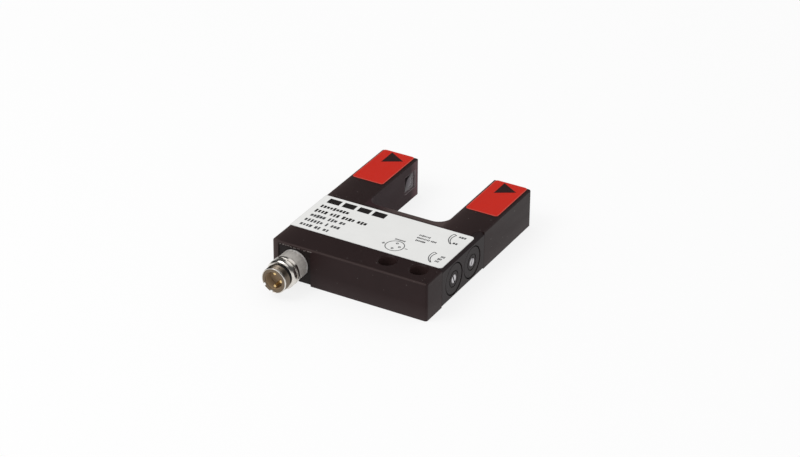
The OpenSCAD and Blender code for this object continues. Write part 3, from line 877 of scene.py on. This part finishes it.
def bead_tree():
    """Small uneven beads along a straight line."""
    graph, given = named_tree("resin_beads", [
        ("Mesh", "NodeSocketGeometry"), ("Count", "NodeSocketInt"), ("Start", "NodeSocketVector"),
        ("End", "NodeSocketVector"), ("Bead Radius", "NodeSocketFloat"), ("Spread", "NodeSocketFloat"),
        ("Seed", "NodeSocketInt"), ("Resin", "NodeSocketMaterial")])
    line = graph.node("GeometryNodeMeshLine", {"mode": "END_POINTS"}, {
        "Count": given["Count"], "Start Location": given["Start"], "Offset": given["End"]})
    scatter = graph.node("FunctionNodeRandomValue", {"data_type": "FLOAT_VECTOR"}, {
        "Min": BEAD_SHIFTS[0], "Max": BEAD_SHIFTS[1], "Seed": given["Seed"]})
    shift = graph.node("ShaderNodeVectorMath", {"operation": "SCALE"}, {
        0: scatter, "Scale": given["Spread"]})
    points = graph.node("GeometryNodeSetPosition", inputs={"Geometry": line, "Offset": shift})
    size = graph.node("FunctionNodeRandomValue", {"data_type": "FLOAT_VECTOR"}, {
        "Min": BEAD_SCALES[0], "Max": BEAD_SCALES[1], "Seed": given["Seed"] + SCALE_SEED})
    bead = graph.node("GeometryNodeMeshIcoSphere", inputs={
        "Radius": given["Bead Radius"], "Subdivisions": 2})
    smooth = graph.node("GeometryNodeSetShadeSmooth", inputs={"Geometry": bead})
    beads = graph.node("GeometryNodeInstanceOnPoints", inputs={
        "Points": points, "Instance": smooth, "Scale": size})
    return close_tree(graph, beads, given["Resin"])


block_low, block_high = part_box("connector_block")
resin = moulded("resin", (0.19, 0.165, 0.155), 0.22, 0.6, 0.3, 0.01)
beads = piece_from(bmesh.new(), "sealing_beads", resin)
line_ends = [
    Vector((x + BEAD_SIDEWAYS * MM, body_low.y, block_high.z + BEAD_RISE * MM))
    for x in (block_low.x, block_high.x)]
grow(beads, bead_tree(), {
    "Count": BEAD_COUNT, "Start": line_ends[0], "End": line_ends[1], "Bead Radius": BEAD_R * MM,
    "Spread": BEAD_SPREAD * MM, "Seed": BEAD_SEED, "Resin": resin.material})
seat(beads, "connector_block", stands_for=False)


# Labels and their print

INK = 0.02
LABEL_EDGE = 0.05
BLOCK_SHARE = 0.85
WORD_GAP = 0.8
HEIGHT_SEED = 5
WHITE = (0.80, 0.80, 0.785)
WHITE_RIM = (0.74, 0.74, 0.73)
RED = (0.565, 0.018, 0.008)
RED_RIM = (0.60, 0.08, 0.06)
ink = moulded("label_ink", (0.014, 0.011, 0.011), 0.5, 0.15, 0.3, 0.002)
arrow_ink = moulded("arrow_ink", (0.032, 0.012, 0.012), 0.5, 0.1, 0.3, 0.002)
fine_ink = moulded("fine_ink", (0.055, 0.055, 0.058), 0.5, 0.3, 0.3, 0.002)
dress("type_label", film("type_label", "white_film", WHITE, WHITE_RIM, 0.2, 0.42), LABEL_EDGE)
for side in ("emitter", "receiver"):
    red_film = film(side + "_label", side + "_red_film", RED, RED_RIM, 0.25, 0.36)
    dress(side + "_label", red_film, LABEL_EDGE)


def block_tree():
    """A flat block on every point, as large as the point's own size, its sides varied."""
    graph, given = named_tree("print_blocks", [
        ("Points", "NodeSocketGeometry"), ("Smallest", "NodeSocketFloat"), ("Seed", "NodeSocketInt"),
        ("Ink", "NodeSocketMaterial")])
    block = graph.node("GeometryNodeMeshCube", inputs={"Size": (1, 1, 1)})
    size = graph.node("GeometryNodeInputNamedAttribute", {"data_type": "FLOAT_VECTOR"}, {
        "Name": "block_size"})
    shares = []
    for seed in (given["Seed"], given["Seed"] + HEIGHT_SEED):
        inputs = {2: given["Smallest"], 3: 1.0, "Seed": seed}
        shares.append(graph.node("FunctionNodeRandomValue", inputs=inputs, out=1))
    stretch = graph.node("ShaderNodeCombineXYZ", inputs={"X": shares[0], "Y": shares[1], "Z": 1.0})
    varied = graph.node("ShaderNodeVectorMath", {"operation": "MULTIPLY"}, {0: size, 1: stretch})
    blocks = graph.node("GeometryNodeInstanceOnPoints", inputs={
        "Points": given["Points"], "Instance": block, "Scale": varied})
    return close_tree(graph, blocks, given["Ink"])


def on_label(u, v):
    """A place on the white label, in millimetres from its front left corner."""
    return label_low.x + u * MM, label_low.y + v * MM


def row_blocks(u, v, height, pitch, words):
    """Places and sizes of the blocks in one row. The list gives the number of blocks in each word."""
    for count in words:
        for _ in range(count):
            place = (*on_label(u + pitch / 2, v), label_high.z + INK * MM / 2)
            yield place, (pitch * BLOCK_SHARE * MM, height * MM, INK * MM)
            u += pitch
        u += pitch * WORD_GAP


def print_blocks(name, rows, finish, seed, smallest):
    """One piece of plain blocks in rows."""
    blocks = [block for row in rows for block in row_blocks(*row)]
    mesh = bpy.data.meshes.new(name)
    mesh.from_pydata([place for place, size in blocks], [], [])
    sizes = mesh.attributes.new("block_size", "FLOAT_VECTOR", "POINT")
    sizes.data.foreach_set("vector", [value for place, size in blocks for value in size])
    piece = bpy.data.objects.new(name, mesh)
    bpy.context.scene.collection.objects.link(piece)
    grow(piece, print_tree, {"Smallest": smallest, "Seed": seed, "Ink": finish.material})
    return seat(piece, "type_label", stands_for=False)


# Each row is its left end, the middle of its height, its height, its pitch and its words
print_tree = block_tree()
print_blocks("heading_blocks", [(1.9, 17.4, 2.7, 5.0, [4])], ink, 1, 0.92)
print_blocks("text_blocks", [
    (1.9, 13.7, 1.7, 1.05, [9]), (1.8, 10.7, 1.8, 1.05, [4, 3, 4, 3])], ink, 2, 0.65)
print_blocks("light_text_blocks", [
    (2.1, 7.8, 1.7, 1.0, [5, 3, 2]), (1.9, 4.9, 1.7, 1.0, [6, 1, 3]),
    (2.0, 2.1, 1.6, 1.0, [4, 2, 2])], fine_ink, 3, 0.6)
print_blocks("small_text_blocks", [
    (34.8, 13.2, 0.9, 0.45, [8]), (34.9, 11.7, 0.9, 0.45, [9, 4]), (35.2, 10.2, 0.9, 0.45, [7]),
    (29.9, 7.9, 0.8, 0.42, [8])], fine_ink, 4, 0.6)
print_blocks("mark_blocks", [
    (45.0, 17.8, 1.0, 0.8, [3]), (45.1, 13.9, 1.0, 0.8, [2]), (45.9, 5.6, 1.1, 0.45, [3]),
    (45.6, 4.2, 1.1, 0.45, [3]), (45.5, 2.8, 1.1, 0.45, [3])], fine_ink, 5, 0.6)


def band(skin, path, width, closed=False):
    """A flat printed band along a path on the white label."""
    rows = []
    for i, point in enumerate(path):
        before = path[i - 1] if i or closed else point
        after = path[(i + 1) % len(path)] if i + 1 < len(path) or closed else point
        along = (Vector(after) - Vector(before)).normalized()
        side = Vector((-along.y, along.x)) * width / 2
        row = []
        for shift, level in ((side, 0), (-side, 0), (-side, INK), (side, INK)):
            row.append(skin.verts.new((*on_label(*(Vector(point) + shift)), label_high.z + level * MM)))
        rows.append(row)
    for here, there in zip(rows, rows[1:] + (rows[:1] if closed else [])):
        for i in range(4):
            j = (i + 1) % 4
            skin.faces.new((here[i], here[j], there[j], there[i]))
    if not closed:
        skin.faces.new(rows[0])
        skin.faces.new(rows[-1][::-1])


def arc(centre, radius_from, radius_to, turn_from, turn_to, steps=40):
    """Points of an arc whose radius may change from one end to the other, turns in degrees."""
    points = []
    for i in range(steps + 1):
        share = i / steps
        turn = math.radians(turn_from + (turn_to - turn_from) * share)
        radius = radius_from + (radius_to - radius_from) * share
        points.append((centre[0] + radius * math.cos(turn), centre[1] + radius * math.sin(turn)))
    return points


PIN_MARK = (31.8, 4.4)
PIN_MARK_R = 2.75
PIN_AT = 1.5
PIN_DOT_R = 0.3
PIN_DOT_STROKE = 0.25
PIN_TURNS = (90, 0, 270)
PIN_SIGNS = ([(27.7, 4.3), (28.7, 4.3)], [(28.2, 3.8), (28.2, 4.8)], [(35.0, 4.4), (35.9, 4.4)])
STROKE = 0.24
ARC_CENTRES = ((47.3, 5.2), (47.3, 16.8))
ARC_R = 4.5
ARC_WIDE_R = 3.5
ARC_TURNS = (236, 157)

marks = bmesh.new()
band(marks, arc(PIN_MARK, PIN_MARK_R, PIN_MARK_R, 0, 360)[:-1], STROKE, closed=True)
for turn in PIN_TURNS:
    dot = arc(PIN_MARK, PIN_AT, PIN_AT, turn, turn, 1)[0]
    band(marks, arc(dot, PIN_DOT_R, PIN_DOT_R, 0, 360, 16)[:-1], PIN_DOT_STROKE, closed=True)
for sign in PIN_SIGNS:
    band(marks, sign, STROKE)
for centre in ARC_CENTRES:
    outer = arc(centre, ARC_R, ARC_R, *ARC_TURNS)
    inner = arc(centre, ARC_R - STROKE, ARC_WIDE_R, *ARC_TURNS)
    band(marks, outer + inner[::-1], STROKE, closed=True)
seat(piece_from(marks, "label_marks", fine_ink), "type_label", stands_for=False)

ARROW_BACK = 3.05
ARROW_TIP = 8.65
ARROW_FROM = 11.9
ARROW_TO = 18.6
for side in ("emitter", "receiver"):
    low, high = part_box(side + "_label")
    arrow = bmesh.new()
    point = (ARROW_TIP, (ARROW_FROM + ARROW_TO) / 2)
    triangle = [(ARROW_BACK, ARROW_FROM), point, (ARROW_BACK, ARROW_TO)]
    prism(arrow, [(low.x + u * MM, low.y + v * MM) for u, v in triangle], high.z, high.z + INK * MM)
    seat(piece_from(arrow, side + "_arrow", arrow_ink), side + "_label", stands_for=False)


# Pieces inside the closed housing keep their own meshes

chip_resin = moulded("chip_resin", (0.012, 0.012, 0.013), 0.5, 0.4, 0.2, 0.01)
tin = plated("tin", (0.70, 0.69, 0.66), 0.3)
inner_finish = {
    "contact_leads": tin, "spindle_seals": rubber, "circuit_board": circuit_green(),
    "sensitivity_trimmer": moulded("trimmer_blue", (0.03, 0.09, 0.36), 0.35, 0.5),
    "mode_switch": moulded("switch_grey", (0.035, 0.035, 0.04), 0.45, 0.4),
    "board_screws": plated("screw_steel", (0.58, 0.57, 0.56), 0.3),
    "emitter_diode": moulded("red_resin", (0.42, 0.035, 0.03), 0.12, 0.5, 1.0, 0.002),
    "receiver_diode": moulded("dark_resin", (0.02, 0.015, 0.03), 0.12, 0.5, 1.0, 0.002),
    "status_led": moulded("lamp_resin", (0.75, 0.55, 0.14), 0.2, 0.5, 1.0, 0.002),
    "signal_chip": chip_resin, "output_driver": chip_resin, "resistors": chip_resin,
    "capacitors": moulded("capacitor_tan", (0.32, 0.22, 0.06), 0.4, 0.4)}
for node, finish in inner_finish.items():
    paint(node, finish)


# Camera at the photograph's angle

VIEW_AZIMUTH = math.radians(29.488)
VIEW_ELEVATION = math.radians(29.815)
VIEW_ROLL = math.radians(0.389)
VIEW_DISTANCE = 739.96
VIEW_SHIFT = (1.135, -0.965)
LENS = 115.70
CLIP_START = 0.01

back = Vector((math.sin(VIEW_AZIMUTH) * math.cos(VIEW_ELEVATION),
               -math.cos(VIEW_AZIMUTH) * math.cos(VIEW_ELEVATION), math.sin(VIEW_ELEVATION)))
level = Vector((math.cos(VIEW_AZIMUTH), math.sin(VIEW_AZIMUTH), 0))
rise = back.cross(level)
right = level * math.cos(VIEW_ROLL) + rise * math.sin(VIEW_ROLL)
up = rise * math.cos(VIEW_ROLL) - level * math.sin(VIEW_ROLL)
camera = bpy.data.objects.new("camera", bpy.data.cameras.new("camera"))
camera.data.lens = LENS
camera.data.clip_start = CLIP_START
eye = body_middle + (back * VIEW_DISTANCE - right * VIEW_SHIFT[0] - up * VIEW_SHIFT[1]) * MM
camera.matrix_world = Matrix.Translation(eye) @ Matrix((right, up, back)).transposed().to_4x4()
bpy.context.scene.collection.objects.link(camera)
bpy.context.scene.camera = camera


# Floor, light and background

def seen_directly(graph):
    """1 for rays from the camera and for rays reflected or passed on to it, else 0."""
    kinds = ("Is Camera Ray", "Is Glossy Ray", "Is Transmission Ray")
    path = [graph.node("ShaderNodeLightPath", out=kind) for kind in kinds]
    return path[0].or_more(path[1]).or_more(path[2])


FLOOR_SIZE = 3.0
FLOOR_WHITE = 0.92
FLOOR_GLOW = 0.8
FLOOR_DROP = 0.02
floor_skin = bmesh.new()
bmesh.ops.create_grid(floor_skin, x_segments=1, y_segments=1, size=FLOOR_SIZE / 2)
floor_finish = Finish("floor_paper", {
    "Base Color": (FLOOR_WHITE, FLOOR_WHITE, FLOOR_WHITE, 1), "Roughness": 0.9, "Specular IOR Level": 0.0})
glow = floor_finish.node("ShaderNodeEmission", inputs={"Color": (1, 1, 1, 1), "Strength": 1.0})
paper = Wire(floor_finish, floor_finish.shader.outputs[0])
shown = floor_finish.node("ShaderNodeMixShader", inputs={
    0: FLOOR_GLOW * seen_directly(floor_finish), 1: paper, 2: glow})
floor_finish.tree.links.new(shown.socket, floor_finish.tree.nodes["Material Output"].inputs[0])
floor = piece_from(floor_skin, "floor", floor_finish)
floor.data.transform(Matrix.Translation((0, 0, body_low.z - FLOOR_DROP * MM)))

BACKDROP_CLIMB = (0.04, 0.30)
BACKDROP_TONES = (1.0, 0.08)
BACKDROP_SIDE = (-0.9, -0.6)
BACKDROP_SIDE_TONES = (0.15, 1.0)
REAR_CARD = Vector((0.2, 0.755, 0.62))
FRONT_CARD = Vector((0.02, -0.60, 0.79))
CARD_EDGE = (0.905, 0.955)
AMBIENT = 0.8
world = bpy.data.worlds.new("studio")
world.use_nodes = True
bpy.context.scene.world = world
sky = Graph(world.node_tree)
direction = sky.node("ShaderNodeTexCoord", out="Generated")
sideways, climb = (sky.node("ShaderNodeSeparateXYZ", inputs={0: direction}, out=i) for i in (0, 2))
backdrop = sky.ramp(climb, *BACKDROP_CLIMB, *BACKDROP_TONES)
backdrop = backdrop * sky.ramp(sideways, *BACKDROP_SIDE, *BACKDROP_SIDE_TONES)
for card in (REAR_CARD, FRONT_CARD):
    ends = {0: direction, 1: card.normalized()}
    aim = sky.node("ShaderNodeVectorMath", {"operation": "DOT_PRODUCT"}, ends, out=1)
    backdrop = backdrop.or_more(sky.ramp(aim, *CARD_EDGE))
seen = seen_directly(sky)
strength = seen * backdrop + AMBIENT * (1 - seen)
sky_light = world.node_tree.nodes["Background"]
sky_light.inputs["Color"].default_value = (1, 1, 1, 1)
world.node_tree.links.new(strength.socket, sky_light.inputs["Strength"])

LAMP_PLACE = Vector((-0.30, -0.32, 0.55))
LAMP_SIZE = 0.35
LAMP_POWER = 1.3
lamp = bpy.data.lights.new("top_softbox", "AREA")
lamp.shape = "SQUARE"
lamp.size = LAMP_SIZE
lamp.energy = LAMP_POWER
softbox = bpy.data.objects.new("top_softbox", lamp)
softbox.location = LAMP_PLACE
softbox.rotation_euler = (body_middle - LAMP_PLACE).to_track_quat("-Z", "Y").to_euler()
bpy.context.scene.collection.objects.link(softbox)

bpy.context.scene.view_settings.view_transform = "Standard"
